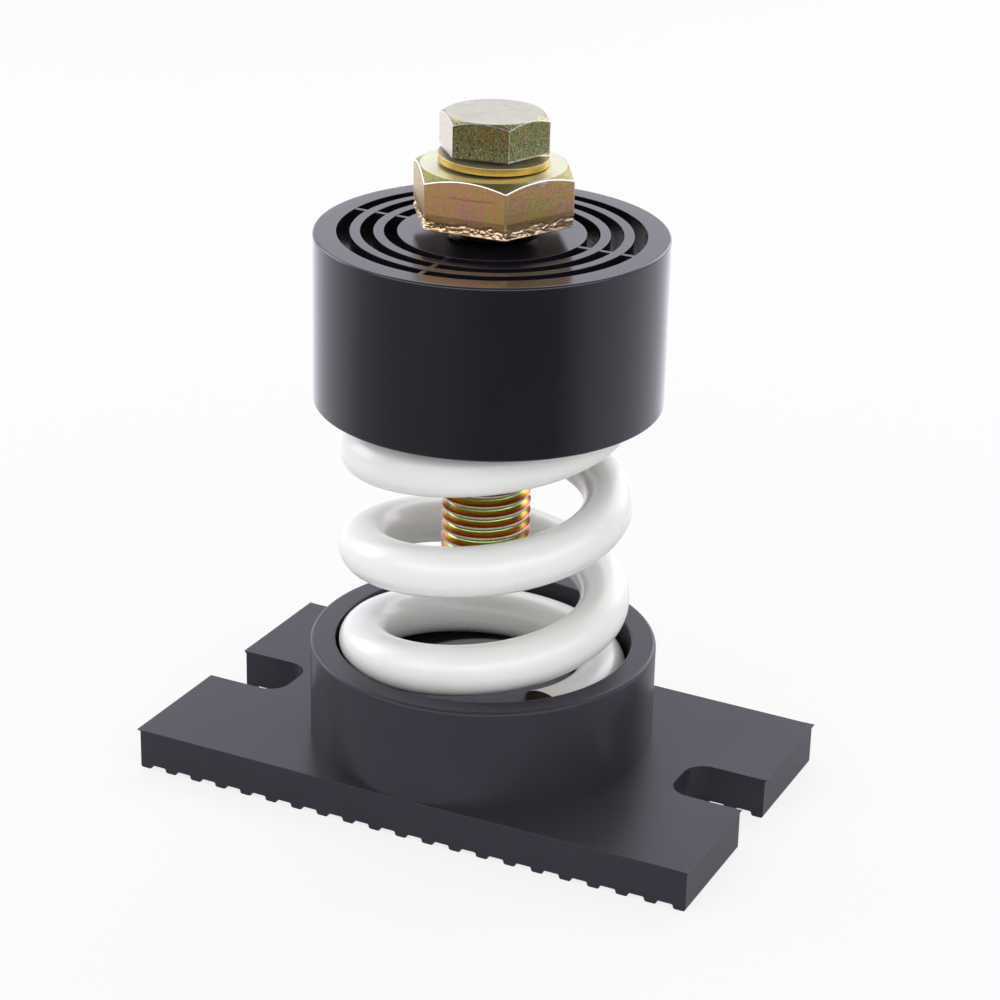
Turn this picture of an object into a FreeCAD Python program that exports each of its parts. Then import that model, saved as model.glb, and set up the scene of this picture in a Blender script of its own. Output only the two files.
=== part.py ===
import FreeCAD, Part

import math
import os

import Sketcher

# Spring vibration isolator: a rubber foot with a cup, one thick coil spring, a moulded cap
# over the spring, and a hollow levelling bolt through the cap that takes a clamp bolt.
# Frame: the foot stands on z = 0, +Z is up along the spring, +X runs along the foot.

# Driving sizes in millimetres, degrees or turns.
SIZES = {
    # foot
    "plate_length": 110.0,
    "plate_width": 63.6,
    "slab_thickness": 6.8,
    "rib_height": 1.0,
    "rib_width": 2.9,
    "rib_shoulder": 0.8,
    "rib_count": 21,
    "rib_end_margin": 0.2,
    "slot_width": 12.2,
    "slot_depth": 15.0,
    "slot_corner": 4.0,
    "seat_rise": 8.7,
    "cup_depth": 10.1,
    "cup_wall": 4.6,
    "boss_height": 1.5,
    "edge_round": 0.8,
    "inner_round": 0.4,
    # spring
    "wire_diameter": 9.0,
    "coil_radius": 21.9,
    "coil_pitch": 18.9,
    "coil_turns": 4.25,
    "dead_turns": 0.41,
    "dead_pitch": 0.6,
    "bend_turns": 0.16,
    "grind_depth": 0.6,
    "coil_start": -38.4,
    "cup_clearance": 0.6,
    "boss_clearance": 0.6,
    # cap and load plate
    "cap_wall": 3.8,
    "cap_clearance": 0.8,
    "cap_skirt": 20.7,
    "cap_roof": 9.8,
    "cap_bore_clearance": 0.7,
    "groove_depth": 3.6,
    "hub_radius": 16.4,
    "groove_width": 2.3,
    "ring_width": 1.8,
    "groove_count": 3,
    "web_width": 1.2,
    "web_drop": 0.5,
    "web_count": 4,
    "load_plate_thickness": 4.3,
    "load_plate_clearance": 0.3,
    # levelling nut and bolt
    "nut_flats": 24.0,
    "nut_height": 13.0,
    "thread_clearance": 0.05,
    "shank_diameter": 16.0,
    "shank_length": 65.0,
    "levelling_gap": 3.0,
    "levelling_flats": 25.8,
    "levelling_head": 9.2,
    "levelling_turn": 4.7,
    "thread_chamfer": 1.0,
    "tapped_depth": 33.0,
    # clamp bolt and lock washer
    "clamp_diameter": 10.0,
    "clamp_length": 30.0,
    "clamp_flats": 17.0,
    "clamp_head": 6.4,
    "clamp_turn": 10.7,
    "washer_radius": 9.6,
    "washer_thickness": 1.3,
    "washer_height": 2.6,
    "washer_split": 5.0,
    "washer_start": 28.0,
    "washer_clearance": 0.3,
    # hexagon heads
    "head_chamfer_angle": 30.0,
    "crown_share": 0.98,
}

HEX_SIDES = 6
FULL_TURN = 360
HALF_SECTOR = f"{FULL_TURN // HEX_SIDES // 2} * 1 deg"

# Sketcher counts the points of an edge in this order, and its own axes as edges -1 and -2.
EDGE_POINTS = ("whole edge", "start", "end", "centre")
START, END, CENTRE = (EDGE_POINTS.index(word) for word in ("start", "end", "centre"))
H_AXIS, V_AXIS = -1, -2

# Heights and radii that follow from the driving sizes, as expressions on the sheet.
SLAB_TOP = "(Sizes.rib_height + Sizes.slab_thickness)"
SEAT_FLOOR = f"({SLAB_TOP} + Sizes.seat_rise)"
CUP_RIM = f"({SEAT_FLOOR} + Sizes.cup_depth)"
SPRING_OUTER = "(Sizes.coil_radius + Sizes.wire_diameter / 2)"
SPRING_INNER = "(Sizes.coil_radius - Sizes.wire_diameter / 2)"
CUP_INNER = f"({SPRING_OUTER} + Sizes.cup_clearance)"
CUP_OUTER = f"({CUP_INNER} + Sizes.cup_wall)"
BOSS_RADIUS = f"({SPRING_INNER} - Sizes.boss_clearance)"
CENTRE_RISE = ("(2 * Sizes.dead_turns * Sizes.dead_pitch"
               " + Sizes.coil_pitch * (Sizes.coil_turns - 2 * Sizes.dead_turns))")
SPRING_HEIGHT = f"({CENTRE_RISE} + Sizes.wire_diameter - 2 * Sizes.grind_depth)"
SPRING_TOP = f"({SEAT_FLOOR} + {SPRING_HEIGHT})"
CEILING = f"({SPRING_TOP} + Sizes.load_plate_thickness)"
CAP_BOTTOM = f"({CEILING} - Sizes.cap_skirt)"
CAP_TOP = f"({CEILING} + Sizes.cap_roof)"
CAP_INNER = f"({SPRING_OUTER} + Sizes.cap_clearance)"
CAP_OUTER = f"({CAP_INNER} + Sizes.cap_wall)"
CAP_BORE = "(Sizes.shank_diameter / 2 + Sizes.cap_bore_clearance)"
LEVEL_HEAD_Z = f"({CAP_TOP} + Sizes.levelling_gap)"
WASHER_Z = f"({LEVEL_HEAD_Z} + Sizes.levelling_head)"
CLAMP_HEAD_Z = f"({WASHER_Z} + Sizes.washer_height)"


def make_sheet(doc):
    """The sheet of driving sizes, one aliased cell each."""
    sheet = doc.addObject("Spreadsheet::Sheet", "Sizes")
    for row, (alias, number) in enumerate(SIZES.items(), start=1):
        sheet.set(f"A{row}", alias.replace("_", " "))
        sheet.set(f"B{row}", str(number))
        sheet.setAlias(f"B{row}", alias)
    doc.recompute()
    return sheet


def number(item, expression):
    """The value of a size expression, as a plain number."""
    result = item.evalExpression(str(expression))
    return float(getattr(result, "Value", result))


def new_body(doc, label):
    """An empty body that carries the piece's own name."""
    body = doc.addObject("PartDesign::Body", label)
    body.Label = label
    return body


def origin_plane(body, role):
    """One of the body's own origin planes."""
    return next(item for item in body.Origin.OriginFeatures if item.Role == role)


def new_sketch(body, name, role, lift="0"):
    """A sketch on one of the body's origin planes, lifted along the plane's normal."""
    sketch = body.newObject("Sketcher::SketchObject", name)
    sketch.AttachmentSupport = (origin_plane(body, role), "")
    sketch.MapMode = "FlatFace"
    if lift != "0":
        sketch.setExpression(".AttachmentOffset.Base.z", lift)
    return sketch


def pin(sketch, edge, end, kind, axis, expression):
    """Hold one end of an edge at a distance from the sketch's origin."""
    if expression == "0":
        sketch.addConstraint(Sketcher.Constraint("PointOnObject", edge, end, axis))
        return
    distance = number(sketch, expression)
    index = sketch.addConstraint(
        Sketcher.Constraint(kind, H_AXIS, START, edge, end, distance))
    sketch.setExpression(f"Constraints[{index}]", expression)


def rounded_edge(first, last, radius, side):
    """An arc between two points; side is 1 when it runs anticlockwise, -1 when clockwise."""
    chord = last - first
    reach = math.sqrt(max(radius ** 2 - (chord.Length / 2) ** 2, 0.0))
    across = FreeCAD.Vector(-chord.y, chord.x, 0).normalize() * side
    centre = (first + last) / 2 + across * reach
    begin, finish = (first, last) if side > 0 else (last, first)
    start_angle = math.atan2(begin.y - centre.y, begin.x - centre.x)
    end_angle = math.atan2(finish.y - centre.y, finish.x - centre.x)
    circle = Part.Circle(centre, FreeCAD.Vector(0, 0, 1), radius)
    return Part.ArcOfCircle(circle, start_angle, end_angle)


def outline(sketch, corners):
    """A closed outline. Each corner is (across, up) or (across, up, radius, side), where the
    last two make the stretch that leaves the corner an arc."""
    count = len(corners)
    places = [FreeCAD.Vector(number(sketch, item[0]), number(sketch, item[1]), 0)
              for item in corners]
    first_edge = sketch.GeometryCount
    ends = []
    for index, item in enumerate(corners):
        here, following = places[index], places[(index + 1) % count]
        if len(item) == 2:
            sketch.addGeometry(Part.LineSegment(here, following))
            ends.append((START, END))
            continue
        sketch.addGeometry(rounded_edge(here, following, number(sketch, item[2]), item[3]))
        ends.append((START, END) if item[3] > 0 else (END, START))
    for index, item in enumerate(corners):
        edge = first_edge + index
        next_edge = first_edge + (index + 1) % count
        leaves = ends[(index + 1) % count][0]
        sketch.addConstraint(
            Sketcher.Constraint("Coincident", edge, ends[index][1], next_edge, leaves))
        pin(sketch, edge, ends[index][0], "DistanceX", V_AXIS, item[0])
        pin(sketch, edge, ends[index][0], "DistanceY", H_AXIS, item[1])
        if len(item) > 2:
            radius = number(sketch, item[2])
            spot = sketch.addConstraint(Sketcher.Constraint("Radius", edge, radius))
            sketch.setExpression(f"Constraints[{spot}]", item[2])


def circle(sketch, radius):
    """A circle about the sketch's origin."""
    size = number(sketch, radius)
    edge = sketch.addGeometry(Part.Circle(FreeCAD.Vector(), FreeCAD.Vector(0, 0, 1), size))
    sketch.addConstraint(Sketcher.Constraint("Coincident", edge, CENTRE, H_AXIS, START))
    spot = sketch.addConstraint(Sketcher.Constraint("Radius", edge, size))
    sketch.setExpression(f"Constraints[{spot}]", radius)


def corner_radius(flats):
    """The distance from a hexagon's middle to its corners."""
    return f"({flats} / 2 / cos({HALF_SECTOR}))"


def hexagon(sketch, flats):
    """A hexagon about the origin, with its first corner on the sketch's across axis."""
    corners = []
    for index in range(HEX_SIDES):
        turn = f"({FULL_TURN // HEX_SIDES} * {index}) * 1 deg"
        on_axis = index % (HEX_SIDES // 2) == 0
        up = "0" if on_axis else f"{corner_radius(flats)} * sin({turn})"
        corners.append((f"{corner_radius(flats)} * cos({turn})", up))
    outline(sketch, corners)


def extrude(body, kind, name, sketch, length):
    """A pad or a pocket of a sketch."""
    feature = body.newObject(kind, name)
    feature.Profile = sketch
    feature.setExpression("Length", length)
    body.Tip = feature
    return feature


def revolve(body, kind, name, sketch):
    """A full revolution or groove about the sketch's upright axis."""
    feature = body.newObject(kind, name)
    feature.Profile = sketch
    feature.ReferenceAxis = (sketch, ["V_Axis"])
    feature.Angle = FULL_TURN
    body.Tip = feature
    return feature


def base_cup(doc):
    """The foot: a slab on cross ribs, an open slot in each end and a cup for the spring."""
    body = new_body(doc, "base_cup")
    half_length = "(Sizes.plate_length / 2)"
    half_width = "(Sizes.plate_width / 2)"
    slab = new_sketch(body, "slab_outline", "XY_Plane", "Sizes.rib_height")
    outline(slab, [(f"-{half_length}", f"-{half_width}"), (half_length, f"-{half_width}"),
                   (half_length, half_width), (f"-{half_length}", half_width)])
    extrude(body, "PartDesign::Pad", "slab", slab, "Sizes.slab_thickness")

    left = f"(-{half_length} + Sizes.rib_end_margin)"
    rib = new_sketch(body, "rib_section", "XZ_Plane", f"-{half_width}")
    outline(rib, [
        (left, "Sizes.rib_height"),
        (left, "Sizes.rib_shoulder", "Sizes.rib_shoulder", 1),
        (f"{left} + Sizes.rib_shoulder", "0"),
        (f"{left} + Sizes.rib_width - Sizes.rib_shoulder", "0", "Sizes.rib_shoulder", 1),
        (f"{left} + Sizes.rib_width", "Sizes.rib_shoulder"),
        (f"{left} + Sizes.rib_width", "Sizes.rib_height"),
    ])
    first_rib = extrude(body, "PartDesign::Pad", "rib", rib, "Sizes.plate_width")
    ribs = body.newObject("PartDesign::LinearPattern", "ribs")
    ribs.Originals = [first_rib]
    ribs.Direction = (rib, ["H_Axis"])
    ribs.setExpression(
        "Length", "Sizes.plate_length - Sizes.rib_width - 2 * Sizes.rib_end_margin")
    ribs.setExpression("Occurrences", "Sizes.rib_count")
    body.Tip = ribs

    slots = new_sketch(body, "slot_outlines", "XY_Plane", SLAB_TOP)
    inner = f"({half_length} - Sizes.slot_depth)"
    half_slot = "(Sizes.slot_width / 2)"
    past_end = f"({half_length} + Sizes.slot_width)"
    for sign in ("", "-"):
        bend = 1 if sign == "" else -1
        turned = f"{sign}({inner} + Sizes.slot_corner)"
        outline(slots, [
            (f"{sign}{past_end}", half_slot),
            (turned, half_slot, "Sizes.slot_corner", bend),
            (f"{sign}{inner}", f"({half_slot} - Sizes.slot_corner)"),
            (f"{sign}{inner}", f"(Sizes.slot_corner - {half_slot})", "Sizes.slot_corner", bend),
            (turned, f"-{half_slot}"),
            (f"{sign}{past_end}", f"-{half_slot}"),
        ])
    extrude(body, "PartDesign::Pocket", "slots", slots, SLAB_TOP)

    cup = new_sketch(body, "cup_section", "XZ_Plane")
    outline(cup, [
        ("0", "Sizes.rib_height"),
        (CUP_OUTER, "Sizes.rib_height"),
        (CUP_OUTER, f"{CUP_RIM} - Sizes.edge_round", "Sizes.edge_round", 1),
        (f"{CUP_OUTER} - Sizes.edge_round", CUP_RIM),
        (f"{CUP_INNER} + Sizes.inner_round", CUP_RIM, "Sizes.inner_round", 1),
        (CUP_INNER, f"{CUP_RIM} - Sizes.inner_round"),
        (CUP_INNER, SEAT_FLOOR),
        (BOSS_RADIUS, SEAT_FLOOR),
        (BOSS_RADIUS, f"{SEAT_FLOOR} + Sizes.boss_height - Sizes.inner_round",
         "Sizes.inner_round", 1),
        (f"{BOSS_RADIUS} - Sizes.inner_round", f"{SEAT_FLOOR} + Sizes.boss_height"),
        ("0", f"{SEAT_FLOOR} + Sizes.boss_height"),
    ])
    revolve(body, "PartDesign::Revolution", "cup", cup)
    return body


def coil_path(sheet):
    """The wire's centre line on a cylinder: a nearly flat dead coil at each end, eased into
    the steady pitch between them."""
    cylinder = Part.Cylinder()
    cylinder.Radius = sheet.coil_radius
    active_rise = sheet.coil_pitch * (sheet.coil_turns - 2 * sheet.dead_turns)
    dead_rise = sheet.dead_pitch * sheet.dead_turns
    corners = [
        (0.0, 0.0),
        (sheet.dead_turns, dead_rise),
        (sheet.coil_turns - sheet.dead_turns, dead_rise + active_rise),
        (sheet.coil_turns, 2 * dead_rise + active_rise),
    ]

    def toward(corner, other, turns):
        """The point that lies some turns from a corner on the way to the other."""
        share = turns / abs(other[0] - corner[0])
        return tuple(a + (b - a) * share for a, b in zip(corner, other))

    def unrolled(point):
        """A point of the unrolled cylinder: angle across, height up."""
        return FreeCAD.Base.Vector2d(point[0] * 2 * math.pi, point[1])

    bends = []
    for before, corner, after in zip(corners, corners[1:], corners[2:]):
        bends.append([toward(corner, before, sheet.bend_turns), corner,
                      toward(corner, after, sheet.bend_turns)])
    stops = [corners[0], bends[0][0], bends[0][2], bends[1][0], bends[1][2], corners[-1]]
    edges = []
    for index in range(0, len(stops), 2):
        line = Part.Geom2d.Line2dSegment(unrolled(stops[index]), unrolled(stops[index + 1]))
        edges.append(line.toShape(cylinder))
        if index // 2 < len(bends):
            curve = Part.Geom2d.BezierCurve2d()
            curve.setPoles([unrolled(point) for point in bends[index // 2]])
            edges.append(curve.toShape(cylinder))
    return Part.Wire(edges)


def coil_spring(doc, sheet):
    """One thick wire coiled right-handed, its end coils drawn flat and ground square."""
    path = coil_path(sheet)
    wire_radius = sheet.wire_diameter / 2
    section = Part.Circle(FreeCAD.Vector(sheet.coil_radius, 0, 0),
                          FreeCAD.Vector(0, 1, 0), wire_radius)
    sweep = Part.BRepOffsetAPI.MakePipeShell(path)
    sweep.setBiNormalMode(FreeCAD.Vector(0, 0, 1))
    sweep.add(Part.Wire(section.toShape()))
    sweep.build()
    sweep.makeSolid()
    coil = sweep.shape()
    bottom = sheet.grind_depth - wire_radius
    height = number(sheet, SPRING_HEIGHT)
    ground = Part.makeCylinder(sheet.coil_radius + sheet.wire_diameter, height,
                               FreeCAD.Vector(0, 0, bottom))
    spring = doc.addObject("Part::Feature", "coil_spring")
    spring.Label = "coil_spring"
    spring.Shape = coil.common(ground).Solids[0]
    spring.Placement = FreeCAD.Placement(
        FreeCAD.Vector(0, 0, number(sheet, SEAT_FLOOR) - bottom),
        FreeCAD.Rotation(FreeCAD.Vector(0, 0, 1), sheet.coil_start))
    return spring


def top_cap(doc):
    """The moulded cap: a skirt round the spring's top and a roof with ring grooves."""
    body = new_body(doc, "top_cap")
    section = new_sketch(body, "cap_section", "XZ_Plane")
    groove_floor = f"({CAP_TOP} - Sizes.groove_depth)"
    corners = [
        (CAP_BORE, CEILING),
        (CAP_INNER, CEILING),
        (CAP_INNER, CAP_BOTTOM),
        (f"{CAP_OUTER} - Sizes.inner_round", CAP_BOTTOM, "Sizes.inner_round", 1),
        (CAP_OUTER, f"{CAP_BOTTOM} + Sizes.inner_round"),
        (CAP_OUTER, f"{CAP_TOP} - Sizes.edge_round", "Sizes.edge_round", 1),
        (f"{CAP_OUTER} - Sizes.edge_round", CAP_TOP),
    ]
    step = "(Sizes.groove_width + Sizes.ring_width)"
    grooves = int(number(section, "Sizes.groove_count"))
    for index in reversed(range(grooves)):
        near = f"(Sizes.hub_radius + {index} * {step})"
        far = f"({near} + Sizes.groove_width)"
        corners += [(far, CAP_TOP), (far, groove_floor), (near, groove_floor), (near, CAP_TOP)]
    corners.append((CAP_BORE, CAP_TOP))
    outline(section, corners)
    revolve(body, "PartDesign::Revolution", "shell", section)

    web = new_sketch(body, "web_outline", "XY_Plane", groove_floor)
    half_web = "(Sizes.web_width / 2)"
    near = "(Sizes.hub_radius - Sizes.ring_width)"
    far = f"(Sizes.hub_radius + Sizes.groove_count * {step})"
    outline(web, [(near, f"-{half_web}"), (far, f"-{half_web}"),
                  (far, half_web), (near, half_web)])
    first_web = extrude(body, "PartDesign::Pad", "web", web,
                        "Sizes.groove_depth - Sizes.web_drop")
    webs = body.newObject("PartDesign::PolarPattern", "webs")
    webs.Originals = [first_web]
    webs.Axis = (web, ["N_Axis"])
    webs.Angle = FULL_TURN
    webs.setExpression("Occurrences", "Sizes.web_count")
    body.Tip = webs
    return body


def load_plate(doc):
    """The steel disc under the cap's roof that the spring presses on."""
    body = new_body(doc, "load_plate")
    disc = new_sketch(body, "disc_outline", "XY_Plane")
    circle(disc, f"{CAP_INNER} - Sizes.load_plate_clearance")
    circle(disc, CAP_BORE)
    extrude(body, "PartDesign::Pad", "disc", disc, "Sizes.load_plate_thickness")
    body.setExpression(".Placement.Base.z", SPRING_TOP)
    return body


def hexagon_chamfer(body, name, flats, edge_height, sign):
    """A cone-shaped cut that takes the corners off a hexagon head at one end. The cut starts
    just inside the flats; sign is 1 at the head's top and -1 at its underside."""
    crown = f"({flats} / 2 * Sizes.crown_share)"
    outside = f"(2 * {corner_radius(flats)} - {crown})"
    fall = f"(({outside} - {crown}) * tan(Sizes.head_chamfer_angle * 1 deg))"
    section = new_sketch(body, f"{name}_section", "XZ_Plane")
    away = f"{edge_height} + {sign} * {fall}"
    back = f"{edge_height} - {sign} * {fall}"
    outline(section, [(crown, edge_height), (outside, back), (outside, away), (crown, away)])
    revolve(body, "PartDesign::Groove", name, section)


def bolt_head(body, flats, height):
    """A hexagon head standing on z = 0, chamfered at the top."""
    head = new_sketch(body, "head_outline", "XY_Plane")
    hexagon(head, flats)
    extrude(body, "PartDesign::Pad", "head", head, height)
    hexagon_chamfer(body, "top_chamfer", flats, height, 1)


def shank(body, radius, length):
    """A plain shank that hangs below z = 0, chamfered at its tip."""
    section = new_sketch(body, "shank_section", "XZ_Plane")
    outline(section, [
        ("0", "0"),
        ("0", f"-{length}"),
        (f"{radius} - Sizes.thread_chamfer", f"-{length}"),
        (radius, f"Sizes.thread_chamfer - {length}"),
        (radius, "0"),
    ])
    revolve(body, "PartDesign::Revolution", "shank", section)


def levelling_nut(doc):
    """The hexagon nut under the load plate that the levelling bolt turns in."""
    body = new_body(doc, "levelling_nut")
    sides = new_sketch(body, "nut_outline", "XY_Plane")
    hexagon(sides, "Sizes.nut_flats")
    extrude(body, "PartDesign::Pad", "nut", sides, "Sizes.nut_height")
    hexagon_chamfer(body, "lower_chamfer", "Sizes.nut_flats", "0", -1)
    bore = new_sketch(body, "bore_outline", "XY_Plane", "Sizes.nut_height")
    circle(bore, "Sizes.shank_diameter / 2 + Sizes.thread_clearance")
    extrude(body, "PartDesign::Pocket", "bore", bore, "Sizes.nut_height")
    body.setExpression(".Placement.Base.z", f"{SPRING_TOP} - Sizes.nut_height")
    return body


def levelling_bolt(doc):
    """The large hexagon bolt: a threaded shank for height, tapped for the clamp bolt."""
    body = new_body(doc, "levelling_bolt")
    bolt_head(body, "Sizes.levelling_flats", "Sizes.levelling_head")
    hexagon_chamfer(body, "lower_chamfer", "Sizes.levelling_flats", "0", -1)
    shank(body, "Sizes.shank_diameter / 2", "Sizes.shank_length")
    bore = new_sketch(body, "bore_section", "XZ_Plane")
    radius = "(Sizes.clamp_diameter / 2 + Sizes.thread_clearance)"
    floor = "(Sizes.levelling_head - Sizes.tapped_depth)"
    outline(bore, [
        ("0", f"{floor} - {radius} * tan(Sizes.head_chamfer_angle * 1 deg)"),
        (radius, floor),
        (radius, "Sizes.levelling_head"),
        ("0", "Sizes.levelling_head"),
    ])
    revolve(body, "PartDesign::Groove", "tapped_bore", bore)
    place_head(body, LEVEL_HEAD_Z, "Sizes.levelling_turn")
    return body


def place_head(body, height, turn):
    """Stand a head at its height, turned about the upright axis."""
    body.Placement = FreeCAD.Placement(
        FreeCAD.Vector(), FreeCAD.Rotation(FreeCAD.Vector(0, 0, 1), number(body, turn)))
    body.setExpression(".Placement.Base.z", height)
    body.setExpression(".Placement.Rotation.Angle", f"{turn} * 1 deg")


def lock_washer(doc):
    """The split spring washer: a flat section that climbs one turn between its cut ends."""
    inner = "(Sizes.clamp_diameter / 2 + Sizes.washer_clearance)"
    share = f"(1 - Sizes.washer_split / {FULL_TURN})"
    rise = "(Sizes.washer_height - Sizes.washer_thickness)"
    spine = doc.addObject("Part::Helix", "washer_spine")
    spine.setExpression("Radius", inner)
    spine.setExpression("Height", rise)
    spine.setExpression("Pitch", f"{rise} / {share}")
    section = doc.addObject("Part::Box", "washer_section")
    section.setExpression("Length", f"Sizes.washer_radius - {inner}")
    section.setExpression("Height", "Sizes.washer_thickness")
    section.setExpression(".Placement.Base.x", inner)
    doc.recompute()
    front = next(index for index, face in enumerate(section.Shape.Faces, start=1)
                 if face.CenterOfMass.y < section.Shape.CenterOfMass.y
                 and abs(face.normalAt(0, 0).y) > math.cos(math.radians(1)))
    outline_face = doc.addObject("Part::Feature", "washer_face")
    outline_face.Shape = section.Shape.Faces[front - 1]
    washer = doc.addObject("Part::Sweep", "lock_washer")
    washer.Label = "lock_washer"
    washer.Sections = [outline_face]
    washer.Spine = (spine, ["Edge1"])
    washer.Solid = True
    washer.Frenet = True
    place_head(washer, WASHER_Z, "Sizes.washer_start")
    return washer


def clamp_bolt(doc):
    """The hexagon bolt that clamps the machine foot to the levelling bolt."""
    body = new_body(doc, "clamp_bolt")
    bolt_head(body, "Sizes.clamp_flats", "Sizes.clamp_head")
    shank(body, "Sizes.clamp_diameter / 2", "Sizes.clamp_length")
    place_head(body, CLAMP_HEAD_Z, "Sizes.clamp_turn")
    return body


def check(doc, pieces):
    """Stop on any failed object and on any piece that is not one sound solid."""
    for item in doc.Objects:
        if any(word in item.State for word in ("Invalid", "Error")):
            raise RuntimeError(f"{item.Name} did not build: {item.State}")
    for piece in pieces:
        shape = piece.Shape
        if shape.isNull() or not shape.isValid() or len(shape.Solids) != 1:
            raise RuntimeError(f"{piece.Label} is not one sound solid")


def main():
    doc = FreeCAD.newDocument("spring_isolator")
    sheet = make_sheet(doc)
    pieces = [
        base_cup(doc),
        coil_spring(doc, sheet),
        top_cap(doc),
        load_plate(doc),
        levelling_nut(doc),
        levelling_bolt(doc),
        lock_washer(doc),
        clamp_bolt(doc),
    ]
    doc.recompute()
    check(doc, pieces)
    os.makedirs("parts", exist_ok=True)
    for piece in pieces:
        piece.Shape.exportStep(f"parts/{piece.Label}.step")
        box = piece.Shape.BoundBox
        print(f"{piece.Label}: volume {piece.Shape.Volume:.0f} mm3,"
              f" z {box.ZMin:.2f} to {box.ZMax:.2f}, x {box.XMin:.2f} to {box.XMax:.2f}")


main()
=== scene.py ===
import math

import bmesh
import bpy
from mathutils import Matrix, Vector
from mathutils import noise as crumple


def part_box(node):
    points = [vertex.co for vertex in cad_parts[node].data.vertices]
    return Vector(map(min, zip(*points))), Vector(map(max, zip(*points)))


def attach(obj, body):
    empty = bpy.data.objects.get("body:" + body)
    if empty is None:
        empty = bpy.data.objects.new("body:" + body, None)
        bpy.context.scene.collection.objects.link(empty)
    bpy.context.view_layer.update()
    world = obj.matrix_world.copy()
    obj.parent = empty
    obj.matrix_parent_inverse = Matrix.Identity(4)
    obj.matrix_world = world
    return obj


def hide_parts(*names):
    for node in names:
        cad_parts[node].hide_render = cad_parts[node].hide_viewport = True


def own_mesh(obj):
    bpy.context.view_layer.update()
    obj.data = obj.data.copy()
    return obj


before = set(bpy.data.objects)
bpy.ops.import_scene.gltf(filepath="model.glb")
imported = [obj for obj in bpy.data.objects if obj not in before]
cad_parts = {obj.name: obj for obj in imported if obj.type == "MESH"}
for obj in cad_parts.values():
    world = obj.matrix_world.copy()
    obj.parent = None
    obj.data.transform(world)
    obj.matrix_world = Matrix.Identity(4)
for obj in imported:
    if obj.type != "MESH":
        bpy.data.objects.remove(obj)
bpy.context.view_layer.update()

# Camera
# The photograph looks down on the foot's front right from about half a metre, through a long
# lens, with the camera turned and rolled by a degree or so.
MM = 0.001
camera_azimuth = 26.35
camera_distance = 468.97 * MM
camera_height = 250.9 * MM
camera_yaw = 0.30
camera_tilt = 22.83
camera_roll = 1.38
lens_length = 102.14

camera_data = bpy.data.cameras.new("photo_view")
camera_data.lens = lens_length
camera_data.sensor_width = 36.0
camera = bpy.data.objects.new("photo_view", camera_data)
bpy.context.scene.collection.objects.link(camera)
bpy.context.scene.camera = camera
around = math.radians(camera_azimuth)
camera.matrix_world = (
    Matrix.Translation((camera_distance * math.sin(around),
                        -camera_distance * math.cos(around), camera_height))
    @ Matrix.Rotation(math.radians(camera_azimuth - camera_yaw), 4, "Z")
    @ Matrix.Rotation(math.radians(90.0 - camera_tilt), 4, "X")
    @ Matrix.Rotation(math.radians(camera_roll), 4, "Z"))
bpy.context.scene.view_settings.view_transform = "Standard"


# Floor and lights
# A white studio sweep: a pale floor that keeps the soft contact shadow, and that mirrors dark
# in front and bright behind, with large soft lamps above, left, right and behind. Bearings
# are degrees from the camera, to the right.
floor_size = 8.0
floor_white = 0.80
background_share = 0.80
backdrop_glow = 1.35
overhead_glow = 0.2
near_floor_glow = 0.6
near_floor = 90 * MM
far_floor = 170 * MM
fill_level = 0.41
plain_white = (1, 1, 1, 1)
gloss_tint = (0.96, 0.95, 1.06, 1)
lamp_distance = 900 * MM
lamp_target = (0, 0, 60 * MM)
front_x, front_y = math.sin(around), -math.cos(around)
toward_back = (-front_x, -front_y, 0)
floor_glow = ((-150, 1.8), (-128, 1.4), (-102, 1.1), (-84, 0.55), (-60, 0.30), (-25, 0.20),
              (0, 0.0), (42, 0.0), (64, 0.8), (112, 1.3), (132, 1.4), (150, 1.8))


def add_node(tree, kind, inputs=None, **settings):
    """A shader node with its settings, and its inputs set or linked."""
    node = tree.nodes.new("ShaderNode" + kind)
    for name, value in settings.items():
        setattr(node, name, value)
    for name, value in (inputs or {}).items():
        socket = node.inputs[name]
        if isinstance(value, bpy.types.NodeSocket):
            tree.links.new(value, socket)
        else:
            socket.default_value = value
    return node


def calc(tree, operation, *values):
    """The result of a Math node."""
    return add_node(tree, "Math", dict(enumerate(values)), operation=operation).outputs[0]


def times(tree, first, second):
    """The product of two values."""
    return calc(tree, "MULTIPLY", first, second)


def remap(tree, value, low, high, new_low=0.0, new_high=1.0):
    """The value moved from one range to another and held inside it."""
    return add_node(tree, "MapRange", {"Value": value, "From Min": low, "From Max": high,
                                       "To Min": new_low, "To Max": new_high}).outputs[0]


def blend(tree, factor, first, second, kind="MIX"):
    """The mix of two colours."""
    return add_node(tree, "Mix", {0: factor, 6: first, 7: second}, data_type="RGBA",
                    blend_type=kind).outputs[2]


def coordinate(tree, kind="Object"):
    """A texture coordinate, by default the place in the object's own frame."""
    return tree.nodes.new("ShaderNodeTexCoord").outputs[kind]


def axes(tree, vector):
    """The X, Y and Z of a vector."""
    return add_node(tree, "SeparateXYZ", {0: vector}).outputs


def alignment(tree, vector, direction):
    """How far the vector runs along a direction."""
    return add_node(tree, "VectorMath", {0: vector, 1: direction},
                    operation="DOT_PRODUCT").outputs["Value"]


def from_axis(tree, spot):
    """Distance from the upright axis."""
    return calc(tree, "SQRT", calc(tree, "ADD", calc(tree, "POWER", spot["X"], 2.0),
                                   calc(tree, "POWER", spot["Y"], 2.0)))


def ramp(tree, place, stops):
    """Colours blended through the stops, each a place from 0 to 1 and its colour."""
    node = add_node(tree, "ValToRGB", {0: place})
    elements = node.color_ramp.elements
    while len(elements) < len(stops):
        elements.new(0.5)
    for element, (position, shade) in zip(elements, stops):
        element.position = position
        element.color = shade
    return node.outputs[0]


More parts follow.
